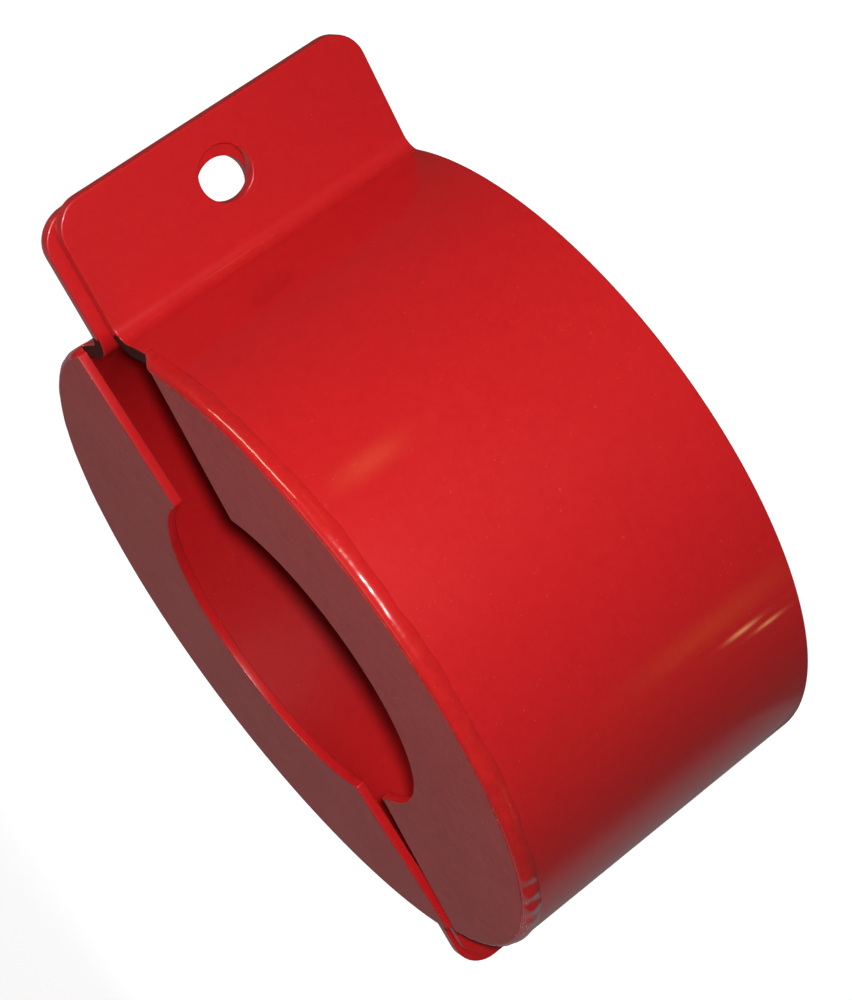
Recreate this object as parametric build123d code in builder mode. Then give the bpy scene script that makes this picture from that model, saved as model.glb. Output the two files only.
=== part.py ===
from build123d import *
from math import acos, atan2, degrees
import os

os.makedirs("parts", exist_ok=True)

# ---------------------------------------------------------------------------
# A two-piece steel collar that clamps round the bell of a post driver and
# narrows its mouth to a smaller post opening.
#
# The collar stands on its open rim: Z is the collar's axis and the end plates
# are on top.  The fixed half is on the -Y side and the swinging half on the
# +Y side.  The wide ears, drilled for the clamp bolt, are at +X, and the
# narrow ears, held by the pivot bolt, are at -X.  Millimetres throughout.
# ---------------------------------------------------------------------------

# Rolled shells
outer_radius = 114.3          # 9 in outside diameter
wall = 4.76                   # 3/16 in sheet
inner_radius = outer_radius - wall
collar_length = 114.3         # open rim to the face of the fixed end plate
clamp_bend_radius = 5.0       # inside radius where a clamp ear is folded out
pivot_bend_radius = 2.0       # inside radius where a pivot ear is folded out

# End plates
plate_thickness = 3.42        # 10 gauge sheet
plate_setback = 1.6           # plate rim inside the shell's outer face, for the weld
plate_radius = outer_radius - plate_setback
shell_height = collar_length - plate_thickness
post_radius = 55.56           # 4 3/8 in post opening

# Each plate is cut along a straight line: its offset from the axis and its angle
fixed_cut_offset = -18.9
fixed_cut_angle = -3.1
fixed_hole_centre = (2.3, -11.7)
swing_cut_offset = 8.0
swing_cut_angle = 9.0
swing_hole_centre = (2.0, -1.0)

# The front rim of the swinging half is a little long and out of square
swing_proud = 2.3             # at the axis
swing_rise = 0.012            # extra height per millimetre towards +X
rim_stock = 12.0              # length left on the blank before its rim is trimmed
rim_flare = 15.0              # degrees that its bore opens out above the bell's seat

# Ears
fixed_parting = wall          # Y of the fixed ears' mating face
ear_gap = 1.5                 # between the mating faces
swing_parting = fixed_parting + ear_gap
ear_corner = 10.5
ear_hole_height = collar_length / 2
fixed_clamp_ear_reach = 158.0
fixed_pivot_ear_reach = 137.2
fixed_clamp_hole_x = 139.7
clamp_hole_radius = 8.73      # 11/16 in hole
pivot_x = -127.0
pivot_hole_radius = 5.16      # 13/32 in hole for a 3/8 in bolt

# The swinging half's ears are folded a little nearer the pivot than the fixed half's.
# The clamp holes still overlap enough for a 1/2 in bolt to pass both.
swing_clamp_ear_reach = 155.4
swing_pivot_ear_reach = 142.6
swing_clamp_hole_x = 135.0

# Weld bead round the rim of each plate
bead_toe = 5.2                # reach down the shell from the plate's face
bead_crown = 0.7              # height above the shell's outer face
bead_end_gap = 1.0            # degrees left bare at each end of the plate's rim

# 3/8 in pivot bolt and its nut
thread_radius = 4.76
nut_bore_radius = 4.80
bolt_length = 31.75
hex_across_flats = 14.29
hex_face_radius = 7.2         # round face left inside the corner chamfer
hex_chamfer_slope = 0.5       # drop per millimetre of radius
head_height = 6.0
nut_height = 8.33
bolt_tip_chamfer = 0.9
washer_outer_radius = 10.3
washer_inner_radius = 5.16
washer_thickness = 1.65
lock_washer_outer_radius = 8.6
lock_washer_inner_radius = 4.95
lock_washer_thickness = 2.38
lock_washer_slot = 1.2
running_gap = 0.15            # between faces that turn against each other

# Faces along the pivot bolt, in order
swing_ear_back = swing_parting + wall
head_washer_face = -running_gap - washer_thickness
nut_washer_face = swing_ear_back + running_gap
lock_washer_face = nut_washer_face + washer_thickness
nut_face = lock_washer_face + lock_washer_thickness + running_gap

# Planes of the two end plates' outer faces
fixed_face = Plane(origin=(0, 0, collar_length))
swing_face = Plane(
    origin=(0, 0, collar_length + swing_proud),
    x_dir=(1, 0, swing_rise),
    z_dir=(-swing_rise, 0, 1),
)


def shell_section(parting, away, clamp_ear_reach, pivot_ear_reach):
    """Plan of a rolled half: half a ring with an ear folded out at each end.

    parting is the Y of the ears' mating face, and away is the direction from
    it to the body of this half, -1 or +1.
    """
    keep_side = Align.MAX if away < 0 else Align.MIN
    ear_back = parting + away * wall
    corner_x = (outer_radius**2 - ear_back**2) ** 0.5
    throat_x = (inner_radius**2 - parting**2) ** 0.5
    with BuildSketch() as section:
        Circle(outer_radius)
        Circle(inner_radius, mode=Mode.SUBTRACT)
        with Locations((0, parting)):
            Rectangle(
                3 * outer_radius,
                2 * outer_radius,
                align=(Align.CENTER, keep_side),
                mode=Mode.INTERSECT,
            )
        for side, reach in ((1, clamp_ear_reach), (-1, pivot_ear_reach)):
            root = throat_x + wall / 2
            with Locations((side * (root + reach) / 2, parting)):
                Rectangle(reach - root, wall, align=(Align.CENTER, keep_side))
        for side, bend_radius in ((1, clamp_bend_radius), (-1, pivot_bend_radius)):
            inside = section.vertices().sort_by_distance((side * corner_x, ear_back))[0]
            fillet(inside, bend_radius)
            outside = section.vertices().sort_by_distance((side * throat_x, parting))[0]
            fillet(outside, bend_radius + wall)
    return section.sketch


def plate_section(face, cut_offset, cut_angle, hole_centre, away):
    """Half of a ring plate, cut along a straight line across its face."""
    keep_side = Align.MAX if away < 0 else Align.MIN
    with BuildSketch(face) as section:
        Circle(plate_radius)
        with Locations(hole_centre):
            Circle(post_radius, mode=Mode.SUBTRACT)
        with Locations((0, cut_offset)):
            Rectangle(
                3 * outer_radius,
                3 * outer_radius,
                rotation=cut_angle,
                align=(Align.CENTER, keep_side),
                mode=Mode.INTERSECT,
            )
    return section.sketch


def rim_angle(cut_offset, cut_angle):
    """Angle at which the plate's cut meets its rim on the +X side, and on the -X side."""
    normal = Vector(0, 1).rotate(Axis.Z, cut_angle)
    distance = cut_offset * normal.Y
    spread = degrees(acos(distance / plate_radius))
    middle = degrees(atan2(normal.Y, normal.X))
    return middle - spread, middle + spread


def bead_section(face, start_angle):
    """Section of the weld bead, in the radial plane at start_angle."""
    outward = face.x_dir.rotate(Axis(face.origin, face.z_dir), start_angle)
    radial_plane = Plane(origin=face.origin, x_dir=outward, z_dir=outward.cross(face.z_dir))
    with BuildSketch(radial_plane) as section:
        with BuildLine():
            Polyline(
                (plate_radius, 0),
                (plate_radius, -plate_thickness),
                (outer_radius, -plate_thickness),
                (outer_radius, -bead_toe),
            )
            ThreePointArc(
                (outer_radius, -bead_toe),
                (outer_radius + bead_crown, -bead_toe / 2),
                (plate_radius, 0),
            )
        make_face()
    return section.sketch


def ear_corner_edges(part):
    """Short edges across the sheet at the ears' outer corners."""
    across = part.edges().filter_by(Axis.Y)
    return across.group_by(Axis.X)[0] + across.group_by(Axis.X)[-1]


# ---------------------------------------------------------------- fixed half
with BuildPart() as fixed_shell:
    extrude(
        shell_section(fixed_parting, -1, fixed_clamp_ear_reach, fixed_pivot_ear_reach),
        amount=shell_height,
    )
    fillet(ear_corner_edges(fixed_shell), ear_corner)
    with BuildSketch(Plane.XZ):
        with Locations((fixed_clamp_hole_x, ear_hole_height)):
            Circle(clamp_hole_radius)
        with Locations((pivot_x, ear_hole_height)):
            Circle(pivot_hole_radius)
    extrude(amount=3 * wall, both=True, mode=Mode.SUBTRACT)

with BuildPart() as fixed_end_plate:
    extrude(
        plate_section(fixed_face, fixed_cut_offset, fixed_cut_angle, fixed_hole_centre, -1),
        amount=-plate_thickness,
    )

# The bead runs clockwise from the +X end of the rim, under the axis, to the -X end
fixed_rim_start, fixed_rim_end = rim_angle(fixed_cut_offset, fixed_cut_angle)
fixed_bead_start = fixed_rim_end + bead_end_gap
fixed_bead_arc = 360 - (fixed_rim_end - fixed_rim_start) - 2 * bead_end_gap

with BuildPart() as fixed_weld_bead:
    revolve(
        bead_section(fixed_face, fixed_bead_start),
        axis=Axis(fixed_face.origin, fixed_face.z_dir),
        revolution_arc=fixed_bead_arc,
    )

# ------------------------------------------------------------- swinging half
with BuildPart() as swing_shell:
    extrude(
        shell_section(swing_parting, 1, swing_clamp_ear_reach, swing_pivot_ear_reach),
        amount=shell_height + rim_stock,
    )
    with BuildSketch(Plane.XY.offset(shell_height)):
        Circle(inner_radius)
    extrude(amount=rim_stock, taper=-rim_flare, mode=Mode.SUBTRACT)
    split(bisect_by=swing_face.offset(-plate_thickness), keep=Keep.BOTTOM)
    fillet(ear_corner_edges(swing_shell), ear_corner)
    with BuildSketch(Plane.XZ.offset(-swing_parting)):
        with Locations((swing_clamp_hole_x, ear_hole_height)):
            Circle(clamp_hole_radius)
        with Locations((pivot_x, ear_hole_height)):
            Circle(pivot_hole_radius)
    extrude(amount=2 * wall, both=True, mode=Mode.SUBTRACT)

with BuildPart() as swing_end_plate:
    extrude(
        plate_section(swing_face, swing_cut_offset, swing_cut_angle, swing_hole_centre, 1),
        amount=-plate_thickness,
    )

# This bead stops short of the folded ear at the -X end
swing_rim_start, swing_rim_end = rim_angle(swing_cut_offset, swing_cut_angle)
ear_root_angle = degrees(acos((swing_ear_back + pivot_bend_radius) / outer_radius))
swing_bead_start = swing_rim_start + bead_end_gap
swing_bead_end = min(swing_rim_end, 90 + ear_root_angle) - bead_end_gap

with BuildPart() as swing_weld_bead:
    revolve(
        bead_section(swing_face, swing_bead_start),
        axis=Axis(swing_face.origin, swing_face.z_dir),
        revolution_arc=swing_bead_end - swing_bead_start,
    )
    add(swing_shell.part, mode=Mode.SUBTRACT)

# ---------------------------------------------------------------- pivot bolt
pivot_axis = Axis((pivot_x, 0, ear_hole_height), (0, 1, 0))
hex_blank_radius = hex_across_flats
hex_chamfer_drop = (hex_blank_radius - hex_face_radius) * hex_chamfer_slope


def across_pivot(y):
    """Plane square to the pivot bolt at y, facing +Y, centred on the bolt."""
    return Plane(origin=(pivot_x, y, ear_hole_height), x_dir=(-1, 0, 0), z_dir=(0, 1, 0))


def hex_envelope(first_y, second_y):
    """Profile that rounds off a hexagon's corners at second_y when revolved about the bolt.

    Local X is the radius and local Y is the model's Y.
    """
    inward = 1 if first_y > second_y else -1
    shoulder_y = second_y + inward * hex_chamfer_drop
    along_pivot = Plane(origin=(pivot_x, 0, ear_hole_height), x_dir=(1, 0, 0), z_dir=(0, 0, 1))
    with BuildSketch(along_pivot) as section:
        with BuildLine():
            Polyline(
                (0, first_y),
                (hex_blank_radius, first_y),
                (hex_blank_radius, shoulder_y),
                (hex_face_radius, second_y),
                (0, second_y),
                close=True,
            )
        make_face()
    return section.sketch


def washer_section(y, outer, inner):
    with BuildSketch(across_pivot(y)) as section:
        Circle(outer)
        Circle(inner, mode=Mode.SUBTRACT)
    return section.sketch


head_outer_face = head_washer_face - head_height
bolt_tip = head_washer_face + bolt_length

with BuildPart() as pivot_bolt:
    with BuildSketch(across_pivot(head_washer_face)):
        RegularPolygon(hex_across_flats / 2, 6, major_radius=False)
    extrude(amount=-head_height)
    revolve(
        hex_envelope(head_washer_face, head_outer_face),
        axis=pivot_axis,
        mode=Mode.INTERSECT,
    )
    with BuildSketch(across_pivot(head_washer_face)):
        Circle(thread_radius)
    extrude(amount=bolt_length)
    chamfer(pivot_bolt.faces().sort_by(Axis.Y)[-1].edges(), bolt_tip_chamfer)

with BuildPart() as head_washer:
    extrude(
        washer_section(head_washer_face, washer_outer_radius, washer_inner_radius),
        amount=washer_thickness,
    )

with BuildPart() as nut_washer:
    extrude(
        washer_section(nut_washer_face, washer_outer_radius, washer_inner_radius),
        amount=washer_thickness,
    )

# Split spring washer, with one slot cut through its ring
with BuildPart() as lock_washer:
    extrude(
        washer_section(lock_washer_face, lock_washer_outer_radius, lock_washer_inner_radius),
        amount=lock_washer_thickness,
    )
    with BuildSketch(across_pivot(lock_washer_face)):
        with Locations((lock_washer_outer_radius / 2, 0)):
            Rectangle(lock_washer_outer_radius, lock_washer_slot)
    extrude(amount=lock_washer_thickness, mode=Mode.SUBTRACT)

with BuildPart() as hex_nut:
    with BuildSketch(across_pivot(nut_face)):
        RegularPolygon(hex_across_flats / 2, 6, major_radius=False)
    extrude(amount=nut_height)
    revolve(
        hex_envelope(nut_face, nut_face + nut_height),
        axis=pivot_axis,
        mode=Mode.INTERSECT,
    )
    with BuildSketch(across_pivot(nut_face)):
        Circle(nut_bore_radius)
    extrude(amount=nut_height, mode=Mode.SUBTRACT)

# -------------------------------------------------------------------- export
pieces = {
    "fixed_shell": fixed_shell,
    "fixed_end_plate": fixed_end_plate,
    "fixed_weld_bead": fixed_weld_bead,
    "swing_shell": swing_shell,
    "swing_end_plate": swing_end_plate,
    "swing_weld_bead": swing_weld_bead,
    "pivot_bolt": pivot_bolt,
    "head_washer": head_washer,
    "nut_washer": nut_washer,
    "lock_washer": lock_washer,
    "hex_nut": hex_nut,
}
for name, piece in pieces.items():
    piece.part.label = name
    export_step(piece.part, f"parts/{name}.step")
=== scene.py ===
import math

import bmesh
import bpy
from mathutils import Matrix, Vector, noise


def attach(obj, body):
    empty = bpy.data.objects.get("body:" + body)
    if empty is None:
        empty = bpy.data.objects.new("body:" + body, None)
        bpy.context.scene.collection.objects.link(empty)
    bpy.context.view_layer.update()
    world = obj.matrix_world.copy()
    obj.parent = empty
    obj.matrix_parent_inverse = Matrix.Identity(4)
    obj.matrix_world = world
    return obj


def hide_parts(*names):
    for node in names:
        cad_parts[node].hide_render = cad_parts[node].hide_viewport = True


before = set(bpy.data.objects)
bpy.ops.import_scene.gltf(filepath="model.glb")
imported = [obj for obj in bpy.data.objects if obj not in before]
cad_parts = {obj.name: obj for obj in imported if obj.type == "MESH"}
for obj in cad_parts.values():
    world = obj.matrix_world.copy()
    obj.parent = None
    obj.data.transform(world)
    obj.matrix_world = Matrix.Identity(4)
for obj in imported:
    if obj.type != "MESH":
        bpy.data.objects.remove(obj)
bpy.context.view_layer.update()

# ---------------------------------------------------------------------------
# Dimensions of the CAD model, in millimetres.  Every mesh below is made in
# millimetres and scaled to metres when it becomes a piece.
# ---------------------------------------------------------------------------
MM = 0.001
outer_radius = 114.3
wall = 4.76
collar_length = 114.3
clamp_bend_radius = 5.0
pivot_bend_radius = 2.0
plate_thickness = 3.42
plate_radius = 112.7
shell_height = collar_length - plate_thickness
post_radius = 55.56
ear_corner = 10.5
hole_height = collar_length / 2
clamp_hole_radius = 8.73
pivot_hole_radius = 5.16
pivot_x = -127.0
fixed_parting = wall
swing_parting = wall + 1.5
swing_proud = 2.3
swing_rise = 0.012
bead_toe = 5.2
bead_crown = 0.7
bead_end_gap = 1.0
bead_overrun = 4.2
thread_radius = 4.76
nut_bore_radius = 4.80
hex_across_flats = 14.29
hex_face_radius = 7.2
washer_outer_radius = 10.3
washer_inner_radius = 5.16
washer_thickness = 1.65
joint_gap = 0.15

# How far the paint rounds over the sheared edges, and the flat strip kept beside the rounding
edge_radius = 0.5
edge_support = 0.35


# ------------------------------------------------------------------ camera
def camera_at(azimuth, elevation, roll, aim, distance, lens):
    """Camera looking at aim. The azimuth runs from -Y towards +X, and roll turns the picture."""
    a, e, r = (math.radians(v) for v in (azimuth, elevation, roll))
    back = Vector((math.sin(a) * math.cos(e), -math.cos(a) * math.cos(e), math.sin(e)))
    level_right = Vector((math.cos(a), math.sin(a), 0))
    level_up = back.cross(level_right)
    up = level_up * math.cos(r) + level_right * math.sin(r)
    right = up.cross(back)
    pose = Matrix((right, up, back)).transposed().to_4x4()
    pose.translation = Vector(aim) + back * distance
    data = bpy.data.cameras.new("camera")
    data.lens = lens
    data.sensor_width = 36
    camera = bpy.data.objects.new("camera", data)
    camera.matrix_world = pose
    bpy.context.scene.collection.objects.link(camera)
    bpy.context.scene.camera = camera
    return camera


camera = camera_at(25.753, 18.136, 126.16, (0.01402, 0.00016, 0.04898), 0.7858, 88.93)


# ------------------------------------------------------------------- nodes
class Nodes:
    """Short calls for building one node tree."""

    def __init__(self, tree, coordinates="Object"):
        self.tree = tree
        self.coords = self.add("ShaderNodeTexCoord").outputs[coordinates]

    def add(self, kind, **settings):
        node = self.tree.nodes.new(kind)
        for key, value in settings.items():
            setattr(node, key, value)
        return node

    def join(self, source, target):
        self.tree.links.new(source, target)

    def put(self, value, target):
        if isinstance(value, bpy.types.NodeSocket):
            self.join(value, target)
        else:
            target.default_value = value

    def noise(self, scale, detail, rough):
        node = self.add("ShaderNodeTexNoise")
        self.join(self.coords, node.inputs["Vector"])
        node.inputs["Scale"].default_value = scale
        node.inputs["Detail"].default_value = detail
        node.inputs["Roughness"].default_value = rough
        return node.outputs["Fac"]

    def span(self, value, low, high, to_low=0.0, to_high=1.0, smooth=False):
        node = self.add("ShaderNodeMapRange", clamp=True)
        if smooth:
            node.interpolation_type = "SMOOTHSTEP"
        self.join(value, node.inputs["Value"])
        for key, number in (
            ("From Min", low),
            ("From Max", high),
            ("To Min", to_low),
            ("To Max", to_high),
        ):
            node.inputs[key].default_value = number
        return node.outputs["Result"]

    def math(self, operation, first, second=0.0):
        node = self.add("ShaderNodeMath", operation=operation)
        self.put(first, node.inputs[0])
        self.put(second, node.inputs[1])
        return node.outputs[0]

    def mix(self, factor, first, second):
        node = self.add("ShaderNodeMix", data_type="RGBA")
        self.put(factor, node.inputs["Factor"])
        self.put(first, node.inputs["A"])
        self.put(second, node.inputs["B"])
        return node.outputs["Result"]

    def along(self, direction):
        """Dot product of the coordinates with a fixed direction."""
        node = self.add("ShaderNodeVectorMath", operation="DOT_PRODUCT")
        self.join(self.coords, node.inputs[0])
        node.inputs[1].default_value = direction
        return node.outputs["Value"]

    def edges(self, radius):
        """1 on edges and 0 on open faces, from how far a rounded normal leaves the real one."""
        bevel = self.add("ShaderNodeBevel", samples=6)
        bevel.inputs["Radius"].default_value = radius
        geometry = self.add("ShaderNodeNewGeometry")
        dot = self.add("ShaderNodeVectorMath", operation="DOT_PRODUCT")
        self.join(bevel.outputs["Normal"], dot.inputs[0])
        self.join(geometry.outputs["Normal"], dot.inputs[1])
        return self.span(dot.outputs["Value"], 0.99, 0.88)

    def bump(self, height, distance, strength=1.0, under=None):
        node = self.add("ShaderNodeBump")
        node.inputs["Strength"].default_value = strength
        node.inputs["Distance"].default_value = distance
        self.join(height, node.inputs["Height"])
        if under is not None:
            self.join(under, node.inputs["Normal"])
        return node.outputs["Normal"]


def new_material(name):
    material = bpy.data.materials.new(name)
    material.use_nodes = True
    return material, Nodes(material.node_tree), material.node_tree.nodes["Principled BSDF"]


def enamel(name, base, deep, pale, gloss, coat, waviness, mottle, dusty=0.25):
    """Sprayed enamel on sheet steel. gloss is its roughness and mottle the strength of its patches."""
    material, n, shader = new_material(name)
    patches = n.span(n.noise(16, 2, 0.5), 0.25, 0.8)
    cloud = n.span(n.noise(260, 2, 0.5), 0.25, 0.8)
    grain = n.span(n.noise(650, 2, 0.6), 0.35, 0.7)
    colour = n.mix(n.math("MULTIPLY", patches, mottle), base, deep)
    colour = n.mix(n.math("MULTIPLY", cloud, mottle), colour, pale)
    colour = n.mix(n.math("MULTIPLY", grain, 0.8 * mottle), colour, pale)
    dust = n.span(n.noise(1300, 1, 0.4), 0.765, 0.79)
    colour = n.mix(n.math("MULTIPLY", dust, dusty), colour, (0.62, 0.30, 0.24, 1))
    edge = n.edges(0.0006)
    worn = n.math("MULTIPLY", edge, n.span(n.noise(160, 2, 0.5), 0.45, 0.7))
    colour = n.mix(n.math("MULTIPLY", worn, 0.4), colour, (0.20, 0.035, 0.02, 1))
    n.join(colour, shader.inputs["Base Color"])
    smears = n.span(n.noise(35, 2, 0.5), 0.2, 0.85, gloss * 0.92, gloss * 1.15)
    n.join(smears, shader.inputs["Roughness"])
    shader.inputs["IOR"].default_value = 1.45
    shader.inputs["Coat Weight"].default_value = coat
    shader.inputs["Coat Roughness"].default_value = 0.05
    sheet = n.bump(n.noise(20, 2, 0.4), waviness)
    peel = n.bump(n.noise(480, 2, 0.5), 0.00004, 0.5, sheet)
    n.join(peel, shader.inputs["Normal"])
    return material


def zinc(name, tint, roughness):
    """Bright zinc plating, dulled and scratched."""
    material, n, shader = new_material(name)
    cloud = n.span(n.noise(180, 4, 0.6), 0.35, 0.7)
    colour = n.mix(cloud, tint, tuple(0.62 * c for c in tint[:3]) + (1,))
    dirt = n.math("MULTIPLY", n.span(n.noise(420, 3, 0.6), 0.56, 0.7), 0.5)
    colour = n.mix(dirt, colour, (0.16, 0.13, 0.1, 1))
    colour = n.mix(n.math("MULTIPLY", n.edges(0.0003), 0.5), colour, (0.85, 0.85, 0.83, 1))
    n.join(colour, shader.inputs["Base Color"])
    shader.inputs["Metallic"].default_value = 1.0
    dulling = n.span(n.noise(300, 3, 0.6), 0.3, 0.7, roughness * 0.8, roughness * 1.6)
    n.join(dulling, shader.inputs["Roughness"])
    n.join(n.bump(n.noise(900, 3, 0.6), 0.00003, 0.6), shader.inputs["Normal"])
    return material


shell_red = enamel(
    "shell_enamel",
    (0.60, 0.010, 0.014, 1),
    (0.52, 0.008, 0.012, 1),
    (0.66, 0.015, 0.017, 1),
    gloss=0.3,
    coat=0.8,
    waviness=0.0004,
    mottle=0.5,
)
# Same red paint as the shell, with its base colour darkened as painted shade for the plates' faces
# turned from the light; the mottle and dust are the plates' own.
plate_shaded_red = enamel(
    "plate_enamel",
    (0.40, 0.018, 0.018, 1),
    (0.26, 0.016, 0.016, 1),
    (0.46, 0.040, 0.034, 1),
    gloss=0.34,
    coat=0.2,
    waviness=0.0003,
    mottle=0.9,
    dusty=0.9,
)
bead_red = enamel(
    "bead_enamel",
    (0.60, 0.010, 0.014, 1),
    (0.42, 0.007, 0.010, 1),
    (0.66, 0.018, 0.016, 1),
    gloss=0.22,
    coat=1.0,
    waviness=0.0005,
    mottle=0.6,
)
# Near-black enamel for the shells' front end faces near the ears: painted shade standing for the deep
# shadow in the gap between the two halves.
rim_painted_shade = enamel(
    "rim_painted_shade",
    (0.030, 0.006, 0.005, 1),
    (0.012, 0.004, 0.004, 1),
    (0.060, 0.012, 0.010, 1),
    gloss=0.6,
    coat=0.0,
    waviness=0.0003,
    mottle=0.8,
)
rim_painted_shade.node_tree.nodes["Principled BSDF"].inputs["Specular IOR Level"].default_value = 0.15
zinc_plate = zinc("zinc_plate", (0.55, 0.55, 0.52, 1), 0.28)
spring_steel = zinc("spring_steel", (0.32, 0.32, 0.33, 1), 0.36)


# ------------------------------------------------------------- mesh making
def spread(first, last, count):
    """count + 1 evenly spaced values from first to last."""
    return [first + (last - first) * i / count for i in range(count + 1)]


def bridge(bm, loops, closed=True, joined_ends=False):
    """Quads between neighbouring loops of vertices."""
    pairs = list(zip(loops, loops[1:]))
    if joined_ends:
        pairs.append((loops[-1], loops[0]))
    count = len(loops[0])
    for lower, upper in pairs:
        for i in range(count if closed else count - 1):
            j = (i + 1) % count
            bm.faces.new((lower[i], lower[j], upper[j], upper[i]))


def fill(bm, normal, *loops):
    """Triangles over a flat face whose outline and holes are the loops."""
    edges = []
    for loop in loops:
        for first, second in zip(loop, loop[1:] + loop[:1]):
            edges.append(bm.edges.get((first, second)))
    bmesh.ops.triangle_fill(bm, edges=edges, use_beauty=True, normal=normal)


def edge_profile(thickness, radius=edge_radius):
    """Inset and depth, step by step, over a sheet's rounded edge from one face to the other."""
    turn = spread(0, math.pi / 2, 4)
    over = [(radius * (1 - math.sin(a)), radius * (1 - math.cos(a))) for a in turn]
    over.insert(0, (radius + edge_support, 0))
    under = [(inset, thickness - depth) for inset, depth in reversed(over)]
    return over + under


def piece_from(bm, name, body, node, material, sharp=None):
    """Turn a mesh in millimetres into a piece that stands for one CAD node."""
    bmesh.ops.recalc_face_normals(bm, faces=bm.faces)
    bmesh.ops.scale(bm, vec=(MM, MM, MM), verts=bm.verts)
    mesh = bpy.data.meshes.new(name)
    bm.to_mesh(mesh)
    bm.free()
    mesh.shade_smooth()
    if sharp is not None:
        mesh.set_sharp_from_angle(angle=math.radians(sharp))
    mesh.materials.append(material)
    piece = bpy.data.objects.new(name, mesh)
    bpy.context.scene.collection.objects.link(piece)
    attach(piece, body)
    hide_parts(node)
    return piece


# ------------------------------------------------------------ rolled shells
def bend_stations(ear_back, bend_radius):
    """Stations round one bend, from the root of its ear to the ring, and the angle it starts at."""
    centre_y = ear_back + bend_radius
    centre_x = ((outer_radius + bend_radius) ** 2 - centre_y**2) ** 0.5
    lean = math.atan2(centre_y, centre_x)
    stations = [(centre_x + edge_support, ear_back, 0, -1)]
    for angle in spread(1.5 * math.pi, math.pi + lean, 12):
        nx, ny = math.cos(angle), math.sin(angle)
        stations.append((centre_x + bend_radius * nx, centre_y + bend_radius * ny, nx, ny))
    return stations, lean


def half_ring_stations(ear_back, away):
    """Points round the outer face of a rolled half, each with its direction through the sheet.

    They run from the root of the clamp ear to the root of the pivot ear. The half is worked
    out on the +Y side, and away of -1 turns it over.
    """
    clamp_root, clamp_lean = bend_stations(ear_back, clamp_bend_radius)
    pivot_root, pivot_lean = bend_stations(ear_back, pivot_bend_radius)
    tangent_step = math.radians(0.3)
    ring = []
    for angle in spread(clamp_lean + tangent_step, math.pi - pivot_lean - tangent_step, 120):
        nx, ny = -math.cos(angle), -math.sin(angle)
        ring.append((-outer_radius * nx, -outer_radius * ny, nx, ny))
    far_root = [(-x, y, -nx, ny) for x, y, nx, ny in reversed(pivot_root)]
    return [(x, away * y, nx, away * ny) for x, y, nx, ny in clamp_root + ring + far_root]


def ear_end(reach, inset):
    """Outline of an ear's outer end, from its foot to its top, as distance out and height."""
    corner = reach - ear_corner
    radius = ear_corner - inset
    turn = spread(0, math.pi / 2, 10)
    foot = [(corner + radius * math.sin(a), ear_corner - radius * math.cos(a)) for a in turn]
    return foot + [(x, shell_height - z) for x, z in reversed(foot)]


def rolled_shell(name, body, parting, away, clamp_ear, pivot_ear, rim_lift):
    """Half shell with rounded edges. Each ear is its reach, its hole's distance out and radius."""
    mating = away * parting
    ear_back = mating + wall
    stations = half_ring_stations(ear_back, away)
    across = (away * ear_back, 0, -away)
    bm = bmesh.new()

    def place(x, y, nx, ny, z, depth):
        ramp = max(0, (z / shell_height - 0.7) / 0.3)
        px = x + nx * depth
        return bm.verts.new((px, y + ny * depth, z + rim_lift(px) * ramp))

    def outline(inset, depth):
        loop = [(*s, inset) for s in stations]
        loop += [(-x, *across, z) for x, z in ear_end(pivot_ear[0], inset)]
        loop += [(*s, shell_height - inset) for s in reversed(stations)]
        loop += [(x, *across, z) for x, z in reversed(ear_end(clamp_ear[0], inset))]
        return [place(*point, depth) for point in loop]

    def hole(centre_x, radius, inset, depth):
        grown = radius + inset
        turn = spread(0, 2 * math.pi, 48)[:-1]
        points = [(centre_x + grown * math.cos(a), hole_height + grown * math.sin(a)) for a in turn]
        return [place(x, *across, z, depth) for x, z in points]

    steps = edge_profile(wall)
    rims = [outline(inset, depth) for inset, depth in steps]
    clamp_hole = [hole(clamp_ear[1], clamp_ear[2], inset, depth) for inset, depth in steps]
    pivot_hole = [hole(-pivot_ear[1], pivot_ear[2], inset, depth) for inset, depth in steps]
    for loops in (rims, clamp_hole, pivot_hole):
        bridge(bm, loops)

    count = len(stations)
    ear_points = len(ear_end(clamp_ear[0], 0))
    for rim, clamp_ring, pivot_ring in (
        (rims[0], clamp_hole[0], pivot_hole[0]),
        (rims[-1], clamp_hole[-1], pivot_hole[-1]),
    ):
        foot = rim[:count]
        pivot_end = rim[count : count + ear_points]
        top = rim[count + ear_points : 2 * count + ear_points][::-1]
        clamp_end = rim[2 * count + ear_points :]
        for i in range(count - 1):
            bm.faces.new((foot[i], foot[i + 1], top[i + 1], top[i]))
        fill(bm, (0, 1, 0), [foot[-1], *pivot_end, top[-1]], pivot_ring)
        fill(bm, (0, 1, 0), [top[0], *clamp_end, foot[0]], clamp_ring)
    node = body.split("_")[0] + "_shell"
    shell = piece_from(bm, name, body, node, shell_red)
    # The ring's top end faces get the near-black painted shade material.
    shell.data.materials.append(rim_painted_shade)
    rim_height = (shell_height - 2 * edge_radius) * MM
    for face in shell.data.polygons:
        on_ring = abs(face.center.x) < (outer_radius + 0.5 * clamp_bend_radius) * MM
        if on_ring and face.normal.z > 0.7 and face.center.z > rim_height:
            face.material_index = 1
    return shell


def swing_rim_lift(x):
    """Height of the swinging half's trimmed rim above the fixed half's."""
    return swing_proud + swing_rise * x


rolled_shell(
    "fixed_rolled_shell",
    "fixed_half",
    fixed_parting,
    -1,
    (158.0, 139.7, clamp_hole_radius),
    (137.2, -pivot_x, pivot_hole_radius),
    lambda x: 0,
)
rolled_shell(
    "swing_rolled_shell",
    "swing_half",
    swing_parting,
    1,
    (155.4, 135.0, clamp_hole_radius),
    (142.6, -pivot_x, pivot_hole_radius),
    swing_rim_lift,
)

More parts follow.
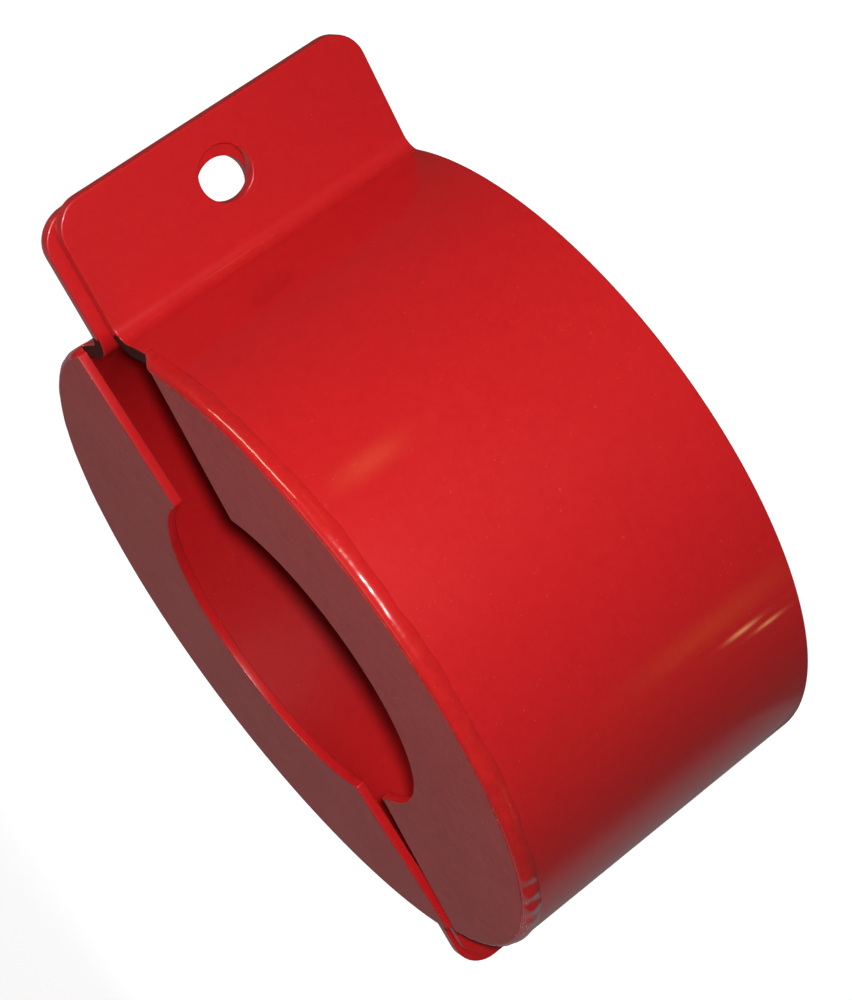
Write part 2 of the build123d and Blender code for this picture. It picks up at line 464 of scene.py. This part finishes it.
# --------------------------------------------------------------- end plates
fixed_face = Matrix.Translation((0, 0, collar_length))
tilt = Matrix.Rotation(-math.atan(swing_rise), 4, "Y")
swing_face = Matrix.Translation((0, 0, collar_length + swing_proud)) @ tilt


def crossings(centre, radius, offset, angle):
    """Where a line through (0, offset) meets a circle: the +X point, then the -X point."""
    run = Vector((math.cos(angle), math.sin(angle)))
    start = Vector((0, offset)) - Vector(centre)
    middle = -start.dot(run)
    half = (middle**2 - start.length_squared + radius**2) ** 0.5
    base = Vector((0, offset))
    return base + run * (middle + half), base + run * (middle - half)


def arc_between(centre, radius, first, last, direction, count):
    """Points on a circle from first to last, turning anticlockwise for a direction of 1."""
    a = math.atan2(first.y - centre[1], first.x - centre[0])
    b = math.atan2(last.y - centre[1], last.x - centre[0])
    sweep = (direction * (b - a)) % (2 * math.pi)
    return [
        Vector((centre[0] + radius * math.cos(t), centre[1] + radius * math.sin(t)))
        for t in spread(a, a + direction * sweep, count)
    ]


def blunted(points, radius):
    """The closed outline with its sharp corners rounded."""
    result = []
    count = len(points)
    for i, corner in enumerate(points):
        before = (points[i - 1] - corner).normalized()
        after = (points[(i + 1) % count] - corner).normalized()
        opening = before.angle(after)
        if opening > math.radians(160):
            result.append(corner)
            continue
        reach = radius / math.tan(opening / 2)
        first, last = corner + before * reach, corner + after * reach
        for t in spread(0, 1, 4):
            result.append(first * (1 - t) ** 2 + corner * (2 * t * (1 - t)) + last * t**2)
    return result


def inset_outline(points, inset):
    """The closed outline moved inwards."""
    count = len(points)
    area = sum(points[i - 1].cross(points[i]) for i in range(count))
    side = 1 if area > 0 else -1
    moved = []
    for i, point in enumerate(points):
        before = (point - points[i - 1]).normalized()
        after = (points[(i + 1) % count] - point).normalized()
        first = Vector((-before.y, before.x)) * side
        second = Vector((-after.y, after.x)) * side
        moved.append(point + (first + second) * (inset / (1 + first.dot(second))))
    return moved


def end_plate(name, body, face, cut_offset, cut_angle, hole_centre, away):
    """Half ring plate with rounded edges, cut along a straight line across its face."""
    angle = math.radians(cut_angle)
    outer_right, outer_left = crossings((0, 0), plate_radius, cut_offset, angle)
    hole_right, hole_left = crossings(hole_centre, post_radius, cut_offset, angle)
    rim = arc_between((0, 0), plate_radius, outer_right, outer_left, away, 120)
    bore = arc_between(hole_centre, post_radius, hole_left, hole_right, -away, 72)
    outline = blunted(rim + bore, 0.8)
    bm = bmesh.new()
    loops = []
    for inset, depth in edge_profile(plate_thickness, 0.4):
        points = inset_outline(outline, inset)
        loops.append([bm.verts.new(face @ Vector((p.x, p.y, -depth))) for p in points])
    bridge(bm, loops)
    fill(bm, face.col[2].to_3d(), loops[0])
    fill(bm, face.col[2].to_3d(), loops[-1])
    node = body.split("_")[0] + "_end_plate"
    plate = piece_from(bm, name, body, node, plate_shaded_red)
    plate.data.materials.append(shell_red)
    for side in plate.data.polygons:
        if abs(side.normal.z) < 0.5:
            side.material_index = 1
    return plate


fixed_cut = (-18.9, -3.1)
swing_cut = (8.0, 9.0)
end_plate("fixed_cut_plate", "fixed_half", fixed_face, *fixed_cut, (2.3, -11.7), -1)
end_plate("swing_cut_plate", "swing_half", swing_face, *swing_cut, (2.0, -1.0), 1)


# --------------------------------------------------------------- weld beads
def rim_angle(cut_offset, cut_angle):
    """Angles at which a plate's cut meets its rim on the +X side, and on the -X side."""
    ends = crossings((0, 0), plate_radius, cut_offset, math.radians(cut_angle))
    return [math.degrees(math.atan2(p.y, p.x)) for p in ends]


def wobble(place, grain, seed):
    """Smooth random height from -1 to 1 along a line, changing over about grain millimetres."""
    return noise.noise(Vector((place / grain, seed, 0.37)))


def weld_bead(name, body, face, start, sweep, lumps, seed):
    """Fillet of weld laid over a plate's rim. A lump is its angle, height and width in degrees."""
    toe = Vector((outer_radius - 0.05, -bead_toe - 1.2))
    shoulder = Vector((outer_radius + 0.8 * bead_crown, -bead_toe + 1.2))
    brow = Vector((outer_radius + bead_crown, -0.7))
    lip = Vector((plate_radius - 0.2, 0))
    sunk = [
        Vector((outer_radius - 2.7, -plate_thickness - 0.5)),
        Vector((outer_radius - 1.2, -plate_thickness - 1.0)),
    ]
    root = Vector((outer_radius - 6, -plate_thickness))
    bm = bmesh.new()
    loops = []
    degrees_per_step = 0.25
    steps = round(abs(sweep) / degrees_per_step)
    for step, angle in enumerate(spread(start, start + sweep, steps)):
        turn = math.radians(angle)
        place = turn * outer_radius
        from_end = min(step, steps - step) * math.radians(degrees_per_step) * outer_radius
        fade = min(1.0, 0.2 + from_end / 5)
        sink = plate_thickness * max(0.0, 1 - from_end / 7) ** 1.5
        spill = 0.5 * wobble(place, 12, seed) + 0.2 * wobble(place, 4, seed + 1)
        run = 0.7 * wobble(place, 18, seed + 2) + 0.4 * wobble(place, 6, seed + 3)
        proud = 0.26 * wobble(place, 11, seed + 4) + 0.09 * wobble(place, 4, seed + 5)
        ripple = 0.02 * (0.5 + wobble(place, 11, seed + 6))
        swell = sum(h * math.exp(-(((angle - at) / w) ** 2)) for at, h, w in lumps)
        loop = []
        for t in spread(0, 1, 12):
            u = 1 - t
            base = toe * u**3 + shoulder * (3 * t * u**2) + brow * (3 * t**2 * u) + lip * t**3
            outward = (base - root).normalized()
            window = math.sin(math.pi * t) ** 0.8
            wave = math.sin((place / 2.3 + 1.6 * (t - 0.5) ** 2) * 2 * math.pi)
            rise = ((proud + ripple * wave) * window + swell * window**2.5) * fade
            slide = Vector((-spill * t**2 * 0.8, run * u**2)) * fade
            loop.append(base + outward * rise + slide - Vector((0, sink * t)))
        loop[0] += Vector((-0.7, -1.0))
        loop[-1] += Vector((-0.1, -0.2))
        around = Vector((math.cos(turn), math.sin(turn)))
        section = [Vector((around.x * p.x, around.y * p.x, p.y)) for p in loop + sunk]
        loops.append([bm.verts.new(face @ point) for point in section])
    bridge(bm, loops)
    for loop, angle in ((loops[0], start), (loops[-1], start + sweep)):
        a = math.radians(angle)
        fill(bm, (-math.sin(a), math.cos(a), 0), loop)
    node = body.split("_")[0] + "_weld_bead"
    return piece_from(bm, name, body, node, bead_red)


fixed_start, fixed_end = rim_angle(*fixed_cut)
weld_bead(
    "fixed_weld_run",
    "fixed_half",
    fixed_face,
    fixed_start + bead_overrun,
    -(fixed_start + bead_overrun - fixed_end - bead_end_gap),
    (
        (-113.0, 0.3, 2.0),
        (-117.5, 0.5, 1.5),
        (-120.3, -0.5, 0.9),
        (-122.6, 0.6, 1.4),
        (-125.8, -0.4, 0.8),
        (-128.0, 0.5, 1.6),
        (-133.0, 0.45, 1.7),
    ),
    seed=3.1,
)
swing_start, swing_end = rim_angle(*swing_cut)
ear_root = math.degrees(math.acos((swing_parting + wall + pivot_bend_radius) / outer_radius))
swing_end = min(swing_end % 360, 90 + ear_root) - bead_end_gap
swing_start += bead_end_gap
weld_bead(
    "swing_weld_run",
    "swing_half",
    swing_face,
    swing_start,
    swing_end - swing_start,
    ((38.0, 0.3, 1.5), (96.0, 0.35, 1.2), (99.5, -0.5, 0.8), (141.0, 0.3, 1.6)),
    seed=8.7,
)


# ------------------------------------------------------------- pivot bolt
def turned(bm, rows, segments, start=0.0, sweep=2 * math.pi, closed=True):
    """Loops of vertices round the pivot bolt. A row is its Y and a function of angle, or a radius."""
    angles = spread(start, start + sweep, segments)
    if closed:
        angles = angles[:-1]
    loops = []
    for y, radius in rows:
        loop = []
        for a in angles:
            r = radius(a) if callable(radius) else radius
            loop.append(bm.verts.new((pivot_x + r * math.sin(a), y, hole_height + r * math.cos(a))))
        loops.append(loop)
    return loops


def hexagon(limit):
    """Radius of a hexagon with a flat facing +Z, cut back to a round limit."""

    def radius(angle):
        from_flat = (math.degrees(angle) + 30) % 60 - 30
        flat = hex_across_flats / 2 / math.cos(math.radians(from_flat))
        return min(flat, limit)

    return radius


def hex_rows(first_y, last_y):
    """Rows up the side of a hexagon whose corners are chamfered at last_y."""
    inward = 1 if first_y > last_y else -1
    rows = [(last_y, hex_face_radius - 0.25)]
    for drop in (0.03, 0.12, 0.24, 0.36, 0.48, 0.60):
        rows.append((last_y + inward * drop, hexagon(hex_face_radius + drop * 2)))
    return rows


thread_pitch = 25.4 / 16
head_face = -1.8
head_height = 6.0
bolt_tip = head_face + 31.75
bolt_tip_chamfer = 0.9
thread_start = head_face + 6.35
full = hexagon(hex_across_flats)


def threaded(y):
    """Radius round the shank at y: plain near the head, then a right-hand 60 degree thread."""
    depth = 0.85 * min(1, max(0, (y - thread_start) / 1.2))
    tip = thread_radius - max(0, y - (bolt_tip - bolt_tip_chamfer))

    def radius(angle):
        phase = (y / thread_pitch - angle / (2 * math.pi)) % 1
        groove = min(1, max(0, 1.25 - abs(phase - 0.5) * 2.9))
        return min(tip, thread_radius - depth * groove)

    return radius


bm = bmesh.new()
head = hex_rows(head_face, head_face - head_height)
head += [(head_face - 0.4, full), (head_face - 0.35, hexagon(7.0)), (head_face, 6.85)]
shank = [(head_face, thread_radius + 0.25), (head_face + 0.3, thread_radius)]
shank += [(y, threaded(y)) for y in spread(thread_start, bolt_tip, 19 * 8)]
loops = turned(bm, head + shank, 96)
bridge(bm, loops)
bm.faces.new(loops[0])
bm.faces.new(loops[-1])
piece_from(bm, "hex_pivot_bolt", "bolt", "pivot_bolt", zinc_plate, sharp=28)


def washer(name, body, node, face):
    """Stamped washer: rounded over on one face and sharper on the other."""
    turn = spread(0, math.pi / 2, 3)
    top = face + washer_thickness
    rows = []
    for edge, side, radius in ((washer_outer_radius, 1, 0.4), (washer_inner_radius, -1, 0.25)):
        soft = [
            (top - radius * (1 - math.cos(a)), edge - side * radius * (1 - math.sin(a)))
            for a in turn
        ]
        crisp = [(face + 0.12, edge), (face, edge - side * 0.12)]
        rows += soft + crisp if side > 0 else list(reversed(soft + crisp))
    bm = bmesh.new()
    bridge(bm, turned(bm, rows, 80), joined_ends=True)
    return piece_from(bm, name, body, node, zinc_plate, sharp=35)


nut_washer_face = swing_parting + wall + joint_gap
washer("head_flat_washer", "bolt", "head_washer", head_face)
washer("nut_flat_washer", "washers", "nut_washer", nut_washer_face)

lock_face = nut_washer_face + washer_thickness
lock_thickness = 2.38
lock_outer_radius = 8.6
lock_inner_radius = 4.95
lock_rounding = 0.2
lock_half_slot = 0.6
lock_mean_radius = 6.8
lock_top = lock_face + lock_thickness
bm = bmesh.new()
lock_rows = [
    (lock_face, lock_inner_radius + lock_rounding),
    (lock_face, lock_outer_radius - lock_rounding),
    (lock_face + lock_rounding, lock_outer_radius),
    (lock_top - lock_rounding, lock_outer_radius),
    (lock_top, lock_outer_radius - lock_rounding),
    (lock_top, lock_inner_radius + lock_rounding),
    (lock_top - lock_rounding, lock_inner_radius),
    (lock_face + lock_rounding, lock_inner_radius),
]
half_slot = lock_half_slot / lock_mean_radius
loops = turned(
    bm,
    lock_rows,
    72,
    start=1.5 * math.pi + half_slot,
    sweep=2 * math.pi - 2 * half_slot,
    closed=False,
)
bridge(bm, loops, closed=False, joined_ends=True)
bm.faces.new([loop[0] for loop in loops])
bm.faces.new([loop[-1] for loop in loops])
piece_from(
    bm, "split_lock_washer", "washers", "lock_washer", spring_steel, sharp=28
)

nut_face = lock_top + joint_gap
nut_height = 8.33
bore_chamfer = 0.6
bm = bmesh.new()
top = hex_rows(nut_face, nut_face + nut_height)
foot = [(2 * nut_face + nut_height - y, radius) for y, radius in reversed(top)]
bore = [
    (nut_face, nut_bore_radius + bore_chamfer),
    (nut_face + bore_chamfer, nut_bore_radius),
    (nut_face + nut_height - bore_chamfer, nut_bore_radius),
    (nut_face + nut_height, nut_bore_radius + bore_chamfer),
]
bridge(bm, turned(bm, bore + top + foot, 96), joined_ends=True)
piece_from(bm, "pivot_hex_nut", "nut", "hex_nut", zinc_plate, sharp=28)


# ------------------------------------------------------------------- stage
def stage_object(name, bm, brightness, albedo):
    mesh = bpy.data.meshes.new(name)
    bm.to_mesh(mesh)
    bm.free()
    thing = bpy.data.objects.new(name, mesh)
    bpy.context.scene.collection.objects.link(thing)
    material, _, shader = new_material(name)
    shader.inputs["Base Color"].default_value = (albedo, albedo, albedo, 1)
    shader.inputs["Roughness"].default_value = 0.9
    shader.inputs["Specular IOR Level"].default_value = 0.0
    shader.inputs["Emission Color"].default_value = (1, 1, 1, 1)
    shader.inputs["Emission Strength"].default_value = brightness
    mesh.materials.append(material)
    thing.visible_glossy = False
    thing.visible_diffuse = False
    return thing


def area_light(name, place, aim, size, power, colour, glossy=True):
    data = bpy.data.lights.new(name, "AREA")
    data.shape = "ELLIPSE"
    data.size = size[0]
    data.size_y = size[1]
    data.energy = power
    data.color = colour
    light = bpy.data.objects.new(name, data)
    light.location = place
    light.rotation_euler = (Vector(place) - Vector(aim)).to_track_quat("Z", "Y").to_euler()
    light.visible_glossy = glossy
    bpy.context.scene.collection.objects.link(light)
    return light


bm = bmesh.new()
bmesh.ops.create_grid(bm, x_segments=1, y_segments=1, size=20)
stage_object("floor", bm, 0.92, 0.3)
bm = bmesh.new()
bmesh.ops.create_uvsphere(bm, u_segments=48, v_segments=24, radius=19)
backdrop = stage_object("backdrop", bm, 1.0, 0.0)
backdrop.visible_shadow = False

middle = (0.01, 0, 0.055)
view = camera.matrix_world
picture_up = view.col[1].to_3d()
picture_right = view.col[0].to_3d()
flash_place = view.translation + picture_up * 0.012 + picture_right * 0.014
area_light("flash", flash_place, middle, (0.03, 0.03), 4.5, (1, 0.98, 0.95))
area_light("strip", (1.15, -0.20, 0.50), middle, (0.95, 0.10), 3.4, (1, 0.86, 0.66))
area_light("overhead", (0.4, -0.3, 1.8), middle, (1.4, 1.4), 1.6, (1, 0.98, 0.95))
area_light("back_left", (-1.7, 0.9, 0.35), middle, (0.9, 0.9), 22, (1, 0.99, 0.97), glossy=False)
area_light("back_right", (0.9, 1.7, 0.35), middle, (0.9, 0.9), 14, (1, 0.99, 0.97), glossy=False)


def direction(azimuth, elevation):
    """Unit vector. The azimuth runs from +X towards +Y."""
    a, e = math.radians(azimuth), math.radians(elevation)
    return (math.cos(a) * math.cos(e), math.sin(a) * math.cos(e), math.sin(e))


world = bpy.data.worlds.new("world")
world.use_nodes = True
n = Nodes(world.node_tree, "Generated")
sky = world.node_tree.nodes["Background"]


def glow(colour, azimuth, elevation, width, height, light):
    """A soft bar of light in the studio's surroundings. Its half width and height are degrees."""
    across = n.math("ABSOLUTE", n.along(direction(azimuth + 90, 0)))
    rise = n.math("SUBTRACT", n.along((0, 0, 1)), math.sin(math.radians(elevation)))
    wide = n.span(across, math.sin(math.radians(width)), 0, smooth=True)
    high = n.span(n.math("ABSOLUTE", rise), math.sin(math.radians(height)), 0, smooth=True)
    facing = n.span(n.along(direction(azimuth, 0)), 0.0, 0.1)
    mask = n.math("MULTIPLY", n.math("MULTIPLY", wide, high), facing)
    return n.mix(mask, colour, light)


# A grey wall behind the collar, above the edge of a dark table, and lamps low behind the viewer
table_edge = n.span(n.along((-0.331, 0.185, 0.925)), -0.004, 0.010, smooth=True)
wall_side = n.span(n.along(direction(128, 0)), 0.60, 0.80, smooth=True)
grey_wall = n.math("MULTIPLY", table_edge, wall_side)
surround = n.mix(grey_wall, (0.055, 0.05, 0.048, 1), (0.17, 0.157, 0.160, 1))
surround = glow(surround, -32, -17.6, 6, 1.3, (1.6, 1.1, 0.3, 1))
surround = glow(surround, -140, -21.6, 7, 3.2, (0.55, 0.38, 0.07, 1))
surround = glow(surround, -149.5, -22.1, 1.3, 0.5, (9.0, 6.6, 2.6, 1))
surround = glow(surround, -153.7, -22.7, 1.1, 0.4, (8.0, 5.6, 2.2, 1))
n.join(surround, sky.inputs["Color"])
bpy.context.scene.world = world
bpy.context.scene.view_settings.view_transform = "Standard"
